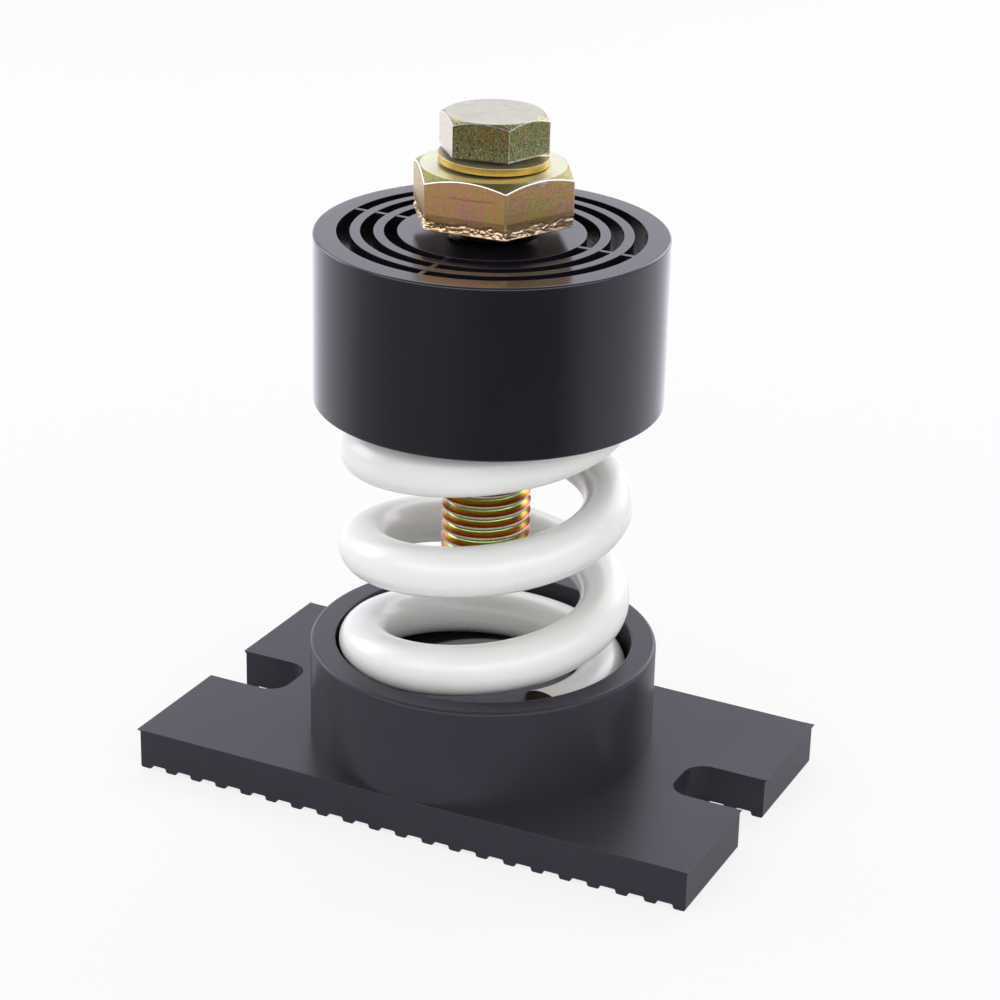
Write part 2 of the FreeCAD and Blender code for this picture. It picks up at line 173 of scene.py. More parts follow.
def tree_of(name):
    """A new material with an empty node tree and its output node."""
    material = bpy.data.materials.new(name)
    material.use_nodes = True
    tree = material.node_tree
    tree.nodes.clear()
    output = tree.nodes.new("ShaderNodeOutputMaterial")
    return material, tree, output


def seen_directly(tree):
    """One for rays that come from the camera or off a glossy or clear surface."""
    rays = tree.nodes.new("ShaderNodeLightPath").outputs
    seen = calc(tree, "MAXIMUM", rays["Is Camera Ray"], rays["Is Glossy Ray"])
    return calc(tree, "MAXIMUM", seen, rays["Is Transmission Ray"])


def mirrored_glow(tree, kind, level):
    """A white glow that is tinted and has the given level where gloss mirrors it."""
    glossy = tree.nodes.new("ShaderNodeLightPath").outputs["Is Glossy Ray"]
    strength = add_node(tree, "Mix", {0: glossy, 2: 1.0, 3: level}).outputs[0]
    tint = blend(tree, glossy, plain_white, gloss_tint)
    return add_node(tree, kind, {"Color": tint, "Strength": strength}).outputs[0]


bpy.ops.object.select_all(action="DESELECT")
bpy.ops.mesh.primitive_plane_add(size=floor_size, location=(0, 0, 0))
floor = bpy.context.object
floor.name = "floor"
floor_paint, tree, output = tree_of("floor_paper")
paper = add_node(tree, "BsdfDiffuse", {"Color": (floor_white, floor_white, floor_white, 1)})
spot = axes(tree, coordinate(tree))
ahead = calc(tree, "ADD", times(tree, spot["X"], front_x), times(tree, spot["Y"], front_y))
aside = calc(tree, "SUBTRACT", times(tree, spot["Y"], front_x), times(tree, spot["X"], front_y))
bearing = calc(tree, "ADD", calc(tree, "DIVIDE", calc(tree, "ARCTAN2", aside, ahead), math.tau),
               0.5)
halved = ramp(tree, bearing, [(degrees / 360 + 0.5, (level / 2, level / 2, level / 2, 1))
                              for degrees, level in floor_glow])
mirrored = times(tree, add_node(tree, "RGBToBW", {0: halved}).outputs[0], 2.0)
distant = remap(tree, from_axis(tree, spot), near_floor, far_floor)
mirrored = add_node(tree, "Mix", {0: distant, 2: near_floor_glow, 3: mirrored}).outputs[0]
glow = mirrored_glow(tree, "Emission", mirrored)
share = times(tree, seen_directly(tree), background_share)
mix = add_node(tree, "MixShader", {0: share, 1: paper.outputs[0], 2: glow})
tree.links.new(mix.outputs[0], output.inputs["Surface"])
floor.data.materials.append(floor_paint)

world = bpy.data.worlds.new("studio")
bpy.context.scene.world = world
world.use_nodes = True
tree = world.node_tree
tree.nodes.clear()
output = tree.nodes.new("ShaderNodeOutputWorld")
sky = coordinate(tree, "Generated")
backdrop = remap(tree, alignment(tree, sky, toward_back), -0.1, 0.6, 0.9, backdrop_glow)
overhead = remap(tree, axes(tree, sky)["Z"], 0.72, 0.92, 1.0, overhead_glow)
white = mirrored_glow(tree, "Background", times(tree, backdrop, overhead))
fill = add_node(tree, "Background", {"Color": plain_white, "Strength": fill_level})
mix = add_node(tree, "MixShader", {0: seen_directly(tree), 1: fill.outputs[0], 2: white})
tree.links.new(mix.outputs[0], output.inputs["Surface"])


def soft_lamp(name, bearing, elevation, width, height, power):
    """A large area lamp aimed at the object."""
    lamp_data = bpy.data.lights.new(name, "AREA")
    lamp_data.shape = "RECTANGLE"
    lamp_data.size = width
    lamp_data.size_y = height
    lamp_data.energy = power
    lamp = bpy.data.objects.new(name, lamp_data)
    bpy.context.scene.collection.objects.link(lamp)
    turn = around + math.radians(bearing)
    rise = math.radians(elevation)
    place = Vector((math.sin(turn) * math.cos(rise), -math.cos(turn) * math.cos(rise),
                    math.sin(rise))) * lamp_distance
    lamp.location = place + Vector(lamp_target)
    lamp.rotation_euler = (-place).to_track_quat("-Z", "Y").to_euler()
    lamp.visible_camera = False


soft_lamp("lamp_back", 180, 50, 0.8, 0.4, 2.4)
for word, bearing in (("left", -55), ("middle", 0), ("right", 55)):
    soft_lamp("lamp_front_" + word, bearing, 30, 0.8, 0.38, 2.1)
soft_lamp("lamp_left", -120, 20, 0.5, 0.5, 2.2)
soft_lamp("lamp_right", 140, 22, 0.5, 0.5, 2.0)


# Rubber foot
# One black rubber moulding: a slab on 21 rounded cross ribs with a thin mould lip round its
# top, an open slot in each end, and a cup with a low boss that holds the spring.
half_length, half_width, rim_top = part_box("base_cup")[1]
rib_height = 0.8 * MM
rib_width = 2.3 * MM
rib_count = 21
rib_round = 0.44 * MM
rib_root = 0.32 * MM
slab_top = 7.8 * MM
lip_height = 0.5 * MM
lip_reach = 0.3 * MM
ear_reach = 0.15 * MM
right_pull = 0.8 * MM
slot_half_width = 6.1 * MM
slot_depth = 15.0 * MM
slot_corner = 4.0 * MM
slot_overrun = 10 * MM
cup_outer = 31.6 * MM
cup_inner = 27.0 * MM
seat_floor = 16.5 * MM
boss_radius = 16.8 * MM
boss_height = 1.5 * MM
boss_top = seat_floor + boss_height
cup_overlap = 0.8 * MM
rim_round = 0.8 * MM
mouth_round = 0.45 * MM
round_steps = 192
near = MM / 10
hair = MM / 100
cut_tolerance = MM / 1000
violet_sheen = (0.92, 0.90, 1.0, 1)


def colour(red, green, blue):
    """A shader colour from the 0 to 255 values of a paint chip."""
    linear = []
    for value in (red, green, blue):
        share = value / 255
        linear.append(share / 12.92 if share <= 0.04045 else ((share + 0.055) / 1.055) ** 2.4)
    return (*linear, 1)


def begin(name, add, **settings):
    """A new primitive, alone in the selection and opened for editing."""
    if bpy.context.object and bpy.context.object.mode != "OBJECT":
        bpy.ops.object.mode_set(mode="OBJECT")
    bpy.ops.object.select_all(action="DESELECT")
    add(**settings)
    piece = bpy.context.object
    piece.name = name
    piece.data.name = name
    bpy.ops.object.transform_apply(location=True, rotation=True, scale=True)
    bpy.ops.object.mode_set(mode="EDIT")
    return piece


def pick(piece, kind, test):
    """Selects the verts, edges or faces of the opened piece whose place passes the test."""
    bpy.ops.mesh.select_mode(type=kind)
    bpy.ops.mesh.select_all(action="DESELECT")
    mesh = bmesh.from_edit_mesh(piece.data)
    mesh.normal_update()
    if kind == "VERT":
        for vert in mesh.verts:
            vert.select_set(test(vert.co))
    elif kind == "EDGE":
        for edge in mesh.edges:
            ends = [vert.co for vert in edge.verts]
            edge.select_set(test(ends[0], ends[1]))
    else:
        for face in mesh.faces:
            face.select_set(test(face.calc_center_median(), face.normal))
    mesh.select_flush_mode()
    bmesh.update_edit_mesh(piece.data)


def move_faces(value):
    """Extrudes the selected faces and moves them."""
    bpy.ops.mesh.extrude_region_move(TRANSFORM_OT_translate={"value": value})


def round_ring(piece, ring, height, size):
    """Rounds the ring of edges that lies at a radius and a height of the opened piece."""
    pick(piece, "EDGE", lambda one, two: all(
        abs(end.z - height) < near / 2 and abs(radius_of(end) - ring) < near / 2
        for end in (one, two)))
    bpy.ops.mesh.bevel(offset=size, segments=4, affect="EDGES")


def close_edit():
    """Back to object mode."""
    bpy.ops.object.mode_set(mode="OBJECT")


def alone(piece):
    """Makes the piece the only one selected, and the active one."""
    bpy.ops.object.select_all(action="DESELECT")
    piece.select_set(True)
    bpy.context.view_layer.objects.active = piece


def cut_with(piece, tool, operation):
    """Joins or cuts the piece with the tool, which is then gone."""
    alone(piece)
    cut = piece.modifiers.new("cut", "BOOLEAN")
    cut.operation = operation
    cut.object = tool
    cut.solver = "EXACT"
    bpy.ops.object.modifier_apply(modifier=cut.name)
    bpy.data.objects.remove(tool)


def soften(piece, width=0.0, segments=1, angle=40):
    """Rounds every edge sharper than the angle and shades the piece smooth."""
    alone(piece)
    if width:
        bevel = piece.modifiers.new("bevel", "BEVEL")
        bevel.width = width
        bevel.segments = segments
        bevel.limit_method = "ANGLE"
        bevel.angle_limit = math.radians(angle)
        bpy.ops.object.modifier_apply(modifier=bevel.name)
    bpy.ops.object.shade_smooth_by_angle(angle=math.radians(35))
    even = piece.modifiers.new("normals", "WEIGHTED_NORMAL")
    even.keep_sharp = True
    bpy.ops.object.modifier_apply(modifier=even.name)


def radius_of(place):
    """Distance from the upright axis."""
    return math.hypot(place[0], place[1])


wall_x = half_length - lip_reach - ear_reach
wall_y = half_width - lip_reach - ear_reach
foot = begin("rubber_foot", bpy.ops.mesh.primitive_cube_add, size=1,
             location=(0, 0, (rib_height + slab_top - lip_height) / 2),
             scale=(2 * wall_x, 2 * wall_y, slab_top - lip_height - rib_height))
rib_step = (2 * wall_x - rib_width) / (rib_count - 1)
rib_starts = [-wall_x + index * rib_step for index in range(rib_count)]
for start in rib_starts:
    for side in (start, start + rib_width):
        if abs(side) < wall_x - hair:
            bpy.ops.mesh.select_all(action="SELECT")
            bpy.ops.mesh.bisect(plane_co=(side, 0, 0), plane_no=(1, 0, 0),
                                threshold=cut_tolerance)
pick(foot, "FACE", lambda place, normal: normal.z < -0.9 and any(
    start < place.x < start + rib_width for start in rib_starts))
move_faces((0, 0, -rib_height))
pick(foot, "EDGE", lambda one, two: one.z < near and two.z < near and abs(one.x - two.x) < hair)
bpy.ops.mesh.bevel(offset=rib_round, segments=4, affect="EDGES")
pick(foot, "EDGE", lambda one, two: abs(one.z - rib_height) < near
     and abs(two.z - rib_height) < near and abs(one.x - two.x) < hair
     and abs(one.x) < wall_x - near)
bpy.ops.mesh.bevel(offset=rib_root, segments=3, affect="EDGES")
pick(foot, "FACE", lambda place, normal: normal.z > 0.9)
move_faces((0, 0, lip_height))
mesh = bmesh.from_edit_mesh(foot.data)
for vert in mesh.verts:
    if vert.co.z > slab_top - near:
        at_end = abs(vert.co.x) > wall_x - near
        at_side = abs(vert.co.y) > wall_y - near
        reach = lip_reach + (ear_reach if at_end and at_side else 0)
        if at_end:
            vert.co.x += math.copysign(reach, vert.co.x)
        if at_side:
            vert.co.y += math.copysign(reach, vert.co.y)
    if vert.co.x > 0:
        along, across = vert.co.x / half_length, vert.co.y / half_width
        vert.co.x -= right_pull * along * max(across, 0.0)
        vert.co.y -= right_pull * along * across
bmesh.update_edit_mesh(foot.data)
close_edit()

slot_inner = half_length - slot_depth
slot_run = slot_depth + slot_overrun
for side in (1, -1):
    cutter = begin("slot_cutter", bpy.ops.mesh.primitive_cube_add, size=1,
                   location=(side * (slot_inner + slot_run / 2), 0, slab_top / 2),
                   scale=(slot_run, 2 * slot_half_width, slab_top + 4 * MM))
    pick(cutter, "EDGE", lambda one, two: abs(one.x - two.x) < hair
         and abs(one.y - two.y) < hair and abs(one.x) < half_length)
    bpy.ops.mesh.bevel(offset=slot_corner, segments=10, affect="EDGES")
    close_edit()
    cut_with(foot, cutter, "DIFFERENCE")

cup_low = slab_top - cup_overlap
cup = begin("cup", bpy.ops.mesh.primitive_cylinder_add, vertices=round_steps, radius=cup_outer,
            depth=rim_top - cup_low, location=(0, 0, (rim_top + cup_low) / 2))
pick(cup, "FACE", lambda place, normal: normal.z > 0.9)
bpy.ops.mesh.inset(thickness=cup_outer - cup_inner)
move_faces((0, 0, seat_floor - rim_top))
bpy.ops.mesh.inset(thickness=cup_inner - boss_radius)
move_faces((0, 0, boss_height))
for ring, height, size in ((cup_outer, rim_top, rim_round), (cup_inner, rim_top, mouth_round),
                           (cup_inner, seat_floor, 0.5 * MM), (boss_radius, boss_top, mouth_round)):
    round_ring(cup, ring, height, size)
close_edit()
cut_with(foot, cup, "UNION")
soften(foot, 0.12 * MM, 2)


def noise(tree, place, scale, detail=2.0, roughness=0.5):
    """Soft noise at a number of cells for each metre."""
    return add_node(tree, "TexNoise", {"Vector": place, "Scale": scale, "Detail": detail,
                                       "Roughness": roughness}).outputs["Fac"]


def streaky(tree, place, across, up, detail=2.0, roughness=0.5):
    """Noise drawn out into streaks, by its cells for each metre across and up."""
    drawn = add_node(tree, "VectorMath", {0: place, 1: (across, across, up)},
                     operation="MULTIPLY").outputs[0]
    return noise(tree, drawn, 1.0, detail, roughness)


def new_group(name, inputs, outputs):
    """A shader node group with number inputs and the named outputs."""
    group = bpy.data.node_groups.new(name, "ShaderNodeTree")
    for word, value in inputs.items():
        socket = group.interface.new_socket(
            name=word, in_out="INPUT", socket_type="NodeSocketFloat")
        socket.default_value = value
    for word, kind in outputs.items():
        group.interface.new_socket(name=word, in_out="OUTPUT", socket_type=kind)
    return group, group.nodes.new("NodeGroupInput"), group.nodes.new("NodeGroupOutput")


def use_group(tree, group, **inputs):
    """The outputs of a node group that is placed in a material with its own values."""
    node = tree.nodes.new("ShaderNodeGroup")
    node.node_tree = group
    for name, value in inputs.items():
        if isinstance(value, bpy.types.NodeSocket):
            tree.links.new(value, node.inputs[name])
        else:
            node.inputs[name].default_value = value
    return node.outputs


def surface(name, **settings):
    """A material on one Principled shader, with its plain values set."""
    material, tree, output = tree_of(name)
    shader = tree.nodes.new("ShaderNodeBsdfPrincipled")
    for word, value in settings.items():
        shader.inputs[word.replace("_", " ")].default_value = value
    tree.links.new(shader.outputs[0], output.inputs["Surface"])
    return material, tree, shader


def coat(tree, shader, tone, roughness, height, strength, distance):
    """Gives the shader its colour and roughness, and a relief from a height that varies."""
    tree.links.new(tone, shader.inputs["Base Color"])
    tree.links.new(roughness, shader.inputs["Roughness"])
    relief = add_node(tree, "Bump", {"Height": height, "Strength": strength,
                                     "Distance": distance})
    tree.links.new(relief.outputs[0], shader.inputs["Normal"])


def dress(piece, material, body, slot_name, *nodes):
    """Gives a piece its material and the body it rides on, and hides the nodes it replaces. The
    slot name is not used.
    """
    piece.data.materials.clear()
    piece.data.materials.append(material)
    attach(piece, body)
    if nodes:
        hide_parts(*nodes)


# A patchy mask of the rounded edges, used for worn edges and, on the hexagon heads, for a painted
# edge highlight.
edge_patch_group, group_in, group_out = new_group(
    "edge_wear_and_highlight", {"Width": 0.0004, "Patchiness": 400.0}, {"Mask": "NodeSocketFloat"})
rounded = add_node(edge_patch_group, "Bevel", {"Radius": group_in.outputs["Width"]}, samples=6)
facing = edge_patch_group.nodes.new("ShaderNodeNewGeometry")
alike = alignment(edge_patch_group, rounded.outputs[0], facing.outputs["Normal"])
edge = remap(edge_patch_group, calc(edge_patch_group, "SUBTRACT", 1.0, alike), 0.0, 0.16)
patches = noise(edge_patch_group, coordinate(edge_patch_group), group_in.outputs["Patchiness"], 3.0)
patchy_edge = times(edge_patch_group, edge, remap(edge_patch_group, patches, 0.35, 0.65, 0.25, 1.0))
edge_patch_group.links.new(patchy_edge, group_out.inputs["Mask"])

grain, group_in, group_out = new_group(
    "moulded_grain", {"Cells": 4000.0}, {"Height": "NodeSocketFloat", "Cloud": "NodeSocketFloat"})
local = coordinate(grain)
fine = noise(grain, local, group_in.outputs["Cells"], 4.0, 0.6)
broad = noise(grain, local, times(grain, group_in.outputs["Cells"], 0.02), 3.0)
grain.links.new(calc(grain, "ADD", fine, times(grain, broad, 1.5)), group_out.inputs["Height"])
grain.links.new(broad, group_out.inputs["Cloud"])

rubber, tree, shader = surface("foot_rubber", IOR=1.5, Specular_IOR_Level=0.22,
                               Specular_Tint=violet_sheen)
local = coordinate(tree)
spot = axes(tree, local)
texture = use_group(tree, grain, Cells=3500.0)
edges = use_group(tree, edge_patch_group, Width=0.0005, Patchiness=300.0)["Mask"]
tone = blend(tree, remap(tree, texture["Cloud"], 0.1, 0.9), colour(46, 44, 51), colour(55, 52, 60))
tone = blend(tree, times(tree, edges, 0.12), tone, colour(92, 90, 98))
# Painted reflection: the far half of the boss top is painted pale grey, standing in for the white
# coil mirrored in it.
painted_boss_reflection = times(tree, remap(tree, from_axis(tree, spot), boss_radius, boss_radius - MM),
              remap(tree, spot["Z"], boss_top - 3 * near, boss_top - near))
painted_boss_reflection = times(tree, painted_boss_reflection, remap(tree, alignment(tree, local, toward_back), 0, 10 * MM))
tone = blend(tree, painted_boss_reflection, tone, colour(148, 146, 144))
coat(tree, shader, tone, remap(tree, texture["Cloud"], 0.1, 0.9, 0.24, 0.34),
     texture["Height"], 0.10, 0.00005)
dress(foot, rubber, "foot", "base_rubber", "base_cup")


# Coil spring
# Spring steel wire, 9 mm thick, coiled right-handed with its end coils drawn flat and ground
# square, under a thick white powder coat that is thin and stained cream at the wire's cut ends,
# with a painted shade of dark brown on the sheared tip's cut face.
wire_radius = 4.5 * MM
coil_radius = 21.9 * MM
coil_pitch = 18.9 * MM
coil_turns = 4.25
dead_turns = 0.41
dead_pitch = 0.6 * MM
bend_turns = 0.16
grind_depth = 0.6 * MM
coil_start = math.radians(-38.4)
steps_per_turn = 96
shear_middle = (17.9 * MM, -16.5 * MM, 20.6 * MM)
shear_size = (16 * MM, 8 * MM, 10 * MM)
shear_turn = math.radians(-4)
cut_face_bearing = math.radians(-111)


def heights(node):
    """The lowest and the highest point of a CAD node."""
    return [corner[2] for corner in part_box(node)]


def level_direction(angle):
    """A level direction at an angle from +X."""
    return (math.cos(angle), math.sin(angle), 0)


def climb(turns):
    """Height of the wire's centre line after some turns, eased between dead and live coils."""
    live_start, live_end = dead_turns, coil_turns - dead_turns
    height = dead_pitch * min(turns, live_start)
    height += coil_pitch * max(0.0, min(turns, live_end) - live_start)
    height += dead_pitch * max(0.0, turns - live_end)
    for corner, sign in ((live_start, 1), (live_end, -1)):
        gap = abs(turns - corner)
        if gap < bend_turns:
            ease = (bend_turns - gap) ** 2 / (4 * bend_turns)
            height += sign * (coil_pitch - dead_pitch) * ease
    return height


spring_bottom, spring_top = heights("coil_spring")
wire_bottom = seat_floor + wire_radius - grind_depth
wire_data = bpy.data.curves.new("coil_wire", "CURVE")
wire_data.dimensions = "3D"
wire_data.bevel_depth = wire_radius
wire_data.bevel_resolution = 16
wire_data.use_fill_caps = True
wire_data.twist_mode = "Z_UP"
line = wire_data.splines.new("POLY")
step_count = int(coil_turns * steps_per_turn)
line.points.add(step_count)
for index in range(step_count + 1):
    turns = coil_turns * index / step_count
    angle = coil_start + turns * math.tau
    line.points[index].co = (coil_radius * math.cos(angle), coil_radius * math.sin(angle),
                             wire_bottom + climb(turns), 1)
coil = bpy.data.objects.new("spring_wire", wire_data)
bpy.context.scene.collection.objects.link(coil)
alone(coil)
bpy.ops.object.convert(target="MESH")
coil = bpy.context.object


def open_edit():
    """Into edit mode with every point selected."""
    bpy.ops.object.mode_set(mode="EDIT")
    bpy.ops.mesh.select_mode(type="VERT")
    bpy.ops.mesh.select_all(action="SELECT")


def face_out():
    """Turns the faces of the opened piece outwards and closes it."""
    bpy.ops.mesh.select_all(action="SELECT")
    bpy.ops.mesh.normals_make_consistent(inside=False)
    close_edit()


def cut_square(low, high):
    """Cuts the opened piece off flat at both heights, with its cuts filled."""
    for height, clear_low in ((low, True), (high, False)):
        bpy.ops.mesh.select_all(action="SELECT")
        bpy.ops.mesh.bisect(plane_co=(0, 0, height), plane_no=(0, 0, 1), use_fill=True,
                            clear_inner=clear_low, clear_outer=not clear_low,
                            threshold=cut_tolerance)


open_edit()
bpy.ops.mesh.remove_doubles(threshold=hair)
cut_square(spring_bottom, spring_top)
face_out()
shear = begin("shear", bpy.ops.mesh.primitive_cube_add, size=1, location=shear_middle,
              rotation=(0, 0, shear_turn), scale=shear_size)
close_edit()
cut_with(coil, shear, "DIFFERENCE")
soften(coil, 0.35 * MM, 3)

paint, tree, shader = surface("powder_coat", IOR=1.5, Coat_Weight=0.25, Coat_Roughness=0.08)
local = coordinate(tree)
texture = use_group(tree, grain, Cells=1400.0)
edges = use_group(tree, edge_patch_group, Width=0.0006, Patchiness=900.0)["Mask"]
tone = blend(tree, remap(tree, texture["Cloud"], 0.35, 0.65),
             colour(232, 233, 232), colour(226, 226, 223))
pits = remap(tree, noise(tree, local, 520.0, 1.0), 0.76, 0.80)
tone = blend(tree, times(tree, pits, 0.35), tone, colour(196, 192, 182))
near_seat = remap(tree, axes(tree, local)["Z"], seat_floor + 3.5 * MM, seat_floor)
tone = blend(tree, times(tree, near_seat, 0.5), tone, colour(206, 200, 178))
tone = blend(tree, times(tree, edges, 0.6), tone, colour(205, 198, 176))
tip_distance = add_node(tree, "VectorMath", {0: local, 1: shear_middle},
                        operation="DISTANCE").outputs["Value"]
near_tip = remap(tree, tip_distance, 9 * MM, 6 * MM)
tone = blend(tree, times(tree, near_tip, 0.6), tone, colour(226, 218, 190))
# Painted shade: the cut face of the sheared tip is painted dark brown, where it lies in shadow
# between the strand and the cup.
shaded_cut_face = remap(tree, alignment(tree, coordinate(tree, "Normal"),
                                 level_direction(cut_face_bearing)), 0.90, 0.94)
tone = blend(tree, times(tree, near_tip, shaded_cut_face), tone, colour(62, 56, 48))
coat(tree, shader, tone, remap(tree, texture["Cloud"], 0.3, 0.7, 0.28, 0.42),
     texture["Height"], 0.10, 0.00012)
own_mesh(coil)
dress(coil, paint, "foot", "spring_coat", "coil_spring")


# Moulded cap
# Black moulded plastic, satin on the wall: a skirt round the spring's top and a roof with
# three ring grooves crossed by four low webs, and a plain bore for the levelling bolt.
cap_low, cap_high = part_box("top_cap")
cap_radius = cap_high[0]
cap_bottom, cap_top = cap_low[2], cap_high[2]
cap_wall = 3.8 * MM
cap_ceiling = 93.92 * MM
cap_bore = 8.25 * MM
groove_depth = 3.6 * MM
hub_radius = 16.4 * MM
groove_width = 2.3 * MM
ring_width = 1.8 * MM
web_half_width = 0.45 * MM
web_drop = 0.12 * MM
groove_starts = [hub_radius + index * (groove_width + ring_width) for index in range(3)]
side_angle = math.pi / round_steps
quarter = math.pi / 2

cap = begin("moulded_cap", bpy.ops.mesh.primitive_cylinder_add, vertices=round_steps,
            radius=cap_radius, depth=cap_top - cap_bottom,
            location=(0, 0, (cap_top + cap_bottom) / 2), rotation=(0, 0, side_angle))
pick(cap, "FACE", lambda place, normal: normal.z > 0.9)
reached = cap_radius
for start in reversed(groove_starts):
    for ring in (start + groove_width, start):
        bpy.ops.mesh.inset(thickness=reached - ring)
        reached = ring
bpy.ops.mesh.inset(thickness=reached - cap_bore)
mesh = bmesh.from_edit_mesh(cap.data)
for vert in mesh.verts:
    radius = radius_of(vert.co)
    if abs(vert.co.z - cap_top) > hair or radius < hub_radius - MM or radius > cap_radius - MM:
        continue
    angle = math.atan2(vert.co.y, vert.co.x)
    web = round(angle / quarter) * quarter
    if abs(abs(angle - web) - side_angle) < side_angle / 10:
        new_angle = web + math.copysign(math.asin(web_half_width / radius), angle - web)
        vert.co.x = radius * math.cos(new_angle)
        vert.co.y = radius * math.sin(new_angle)
bmesh.update_edit_mesh(cap.data)


def in_groove(place):
    """True inside one of the ring grooves."""
    return any(start < radius_of(place) < start + groove_width for start in groove_starts)


def in_web(place):
    """True on one of the four webs."""
    return min(abs(place.x), abs(place.y)) < web_half_width / 2


pick(cap, "FACE", lambda place, normal: normal.z > 0.9 and in_groove(place))
move_faces((0, 0, -web_drop))
pick(cap, "FACE", lambda place, normal: normal.z > 0.9 and in_groove(place)
     and not in_web(place))
move_faces((0, 0, web_drop - groove_depth))
pick(cap, "FACE", lambda place, normal: normal.z < -0.9)
bpy.ops.mesh.inset(thickness=cap_wall)
move_faces((0, 0, cap_ceiling - cap_bottom))
bpy.ops.mesh.inset(thickness=cap_radius - cap_wall - cap_bore)
pick(cap, "FACE", lambda place, normal: abs(normal.z) > 0.9 and radius_of(place) < cap_bore / 2)
bpy.ops.mesh.bridge_edge_loops()
round_ring(cap, cap_radius, cap_top, 0.5 * MM)
round_ring(cap, cap_radius, cap_bottom, 0.4 * MM)
face_out()
soften(cap, 0.2 * MM, 3)

plastic, tree, shader = surface("cap_plastic", IOR=1.5, Specular_Tint=violet_sheen)
texture = use_group(tree, grain, Cells=5000.0)
edges = use_group(tree, edge_patch_group, Width=0.0003, Patchiness=500.0)["Mask"]
flow = streaky(tree, coordinate(tree), 900.0, 60.0)
tone = blend(tree, texture["Cloud"], colour(19, 17, 22), colour(25, 23, 28))
tone = blend(tree, times(tree, edges, 0.25), tone, colour(80, 78, 86))
coat(tree, shader, tone, calc(tree, "ADD", remap(tree, texture["Cloud"], 0.1, 0.9, 0.12, 0.18),
                              times(tree, flow, 0.06)),
     calc(tree, "ADD", texture["Height"], times(tree, flow, 1.5)), 0.06, 0.00005)
dress(cap, plastic, "cap", "cap_moulding", "top_cap")


# Steel insert
# The load plate on the spring and the nut below it are turned and punched steel with a bright
# zinc plate. Both sit inside the cap and show only from below.


def swing(tree, value, amount):
    """How far a noise lies from its middle, times the amount."""
    return times(tree, calc(tree, "SUBTRACT", value, 0.5), amount)


zinc, group_in, group_out = new_group(
    "zinc_film", {"Tone": 0.5, "Cells": 300.0},
    {"Color": "NodeSocketColor", "Roughness": "NodeSocketFloat", "Height": "NodeSocketFloat"})
local = coordinate(zinc)
patches = noise(zinc, local, group_in.outputs["Cells"], 4.0, 0.65)
specks = noise(zinc, local, times(zinc, group_in.outputs["Cells"], 9.0), 3.0, 0.7)
film = ramp(zinc, calc(zinc, "ADD", group_in.outputs["Tone"], swing(zinc, patches, 0.9)), (
    (0.0, colour(150, 158, 148)), (0.28, colour(190, 186, 140)), (0.48, colour(212, 186, 108)),
    (0.68, colour(228, 172, 128)), (0.86, colour(214, 160, 150)), (1.0, colour(216, 208, 190))))
speckled = blend(zinc, remap(zinc, specks, 0.4, 0.75, 0.0, 0.45), film, colour(120, 112, 92),
                 "MULTIPLY")
zinc.links.new(speckled, group_out.inputs["Color"])
zinc.links.new(remap(zinc, specks, 0.3, 0.7, 0.22, 0.42), group_out.inputs["Roughness"])
zinc.links.new(calc(zinc, "ADD", specks, times(zinc, patches, 0.6)), group_out.inputs["Height"])

steel, tree, shader = surface("bright_zinc", Metallic=1.0)
film = use_group(tree, zinc, Tone=0.0, Cells=220.0)
brushed = streaky(tree, coordinate(tree), 1500.0, 1500.0)
tone = blend(tree, 0.35, colour(176, 178, 182), film["Color"])
coat(tree, shader, tone, film["Roughness"],
     calc(tree, "ADD", brushed, film["Height"]), 0.1, 0.00005)
for name in ("load_plate", "levelling_nut"):
    for slot_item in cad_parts[name].material_slots:
        slot_item.material = steel


# Levelling bolt
# A large hexagon bolt in yellow passivated zinc, turned to set the height. Its M16 thread is
# rolled, its head is turned at the top and sheared rough at the bottom, and it is tapped.
shank_bottom, head_top = heights("levelling_bolt")
head_height = 9.2 * MM
head_flats = 25.8 * MM
head_turn = math.radians(4.7)
crown_share = 0.98
chamfer_angle = math.radians(30)
lip_hang = 0.25 * MM
head_low = head_top - head_height - lip_hang
head_overlap = 0.3 * MM
torn_reach = 3.0 * MM
torn_depth = 0.4 * MM
torn_lip = 0.3 * MM
torn_fade = 0.5 * MM
torn_columns = 90
torn_rows = 24
ragged_height = 0.9 * MM
ragged_swing = 0.7 * MM
fold_line = 0.16
fold_width = 0.07
shank_radius = 8.0 * MM
thread_pitch = 2.0 * MM
thread_depth = 1.15 * MM
thread_crest = 0.26 * MM
tapped_radius = 5.05 * MM
tapped_depth = 33.0 * MM
score_drop = 2.5 * MM
score_width = 0.3 * MM
hex_sides = 6
flank_shape = ((0.0, 0.0), (0.30, 0.36), (0.60, 0.72), (0.80, 0.93), (1.0, 1.0))
painted_highlight_white = colour(240, 240, 236)


def hexagon_head(name, flats, low, high, turn):
    """A hexagon head whose corners are turned off by a cone at the top."""
    corner = flats / 2 / math.cos(math.pi / hex_sides)
    outside = corner + MM
    crown = flats / 2 * crown_share
    fall = (outside - crown) * math.tan(chamfer_angle)
    head = begin(name, bpy.ops.mesh.primitive_cylinder_add, vertices=hex_sides, radius=corner,
                 depth=high - low, location=(0, 0, (high + low) / 2),
                 rotation=(0, 0, turn + quarter))
    close_edit()
    blank = begin("turned_blank", bpy.ops.mesh.primitive_cylinder_add, vertices=round_steps,
                  radius=outside, depth=high - fall - low + MM,
                  location=(0, 0, (high - fall + low - MM) / 2))
    pick(blank, "FACE", lambda place, normal: normal.z > 0.9)
    move_faces((0, 0, fall))
    share = crown / outside
    bpy.ops.transform.resize(value=(share, share, 1), center_override=(0, 0, high))
    close_edit()
    cut_with(head, blank, "INTERSECT")
    return head


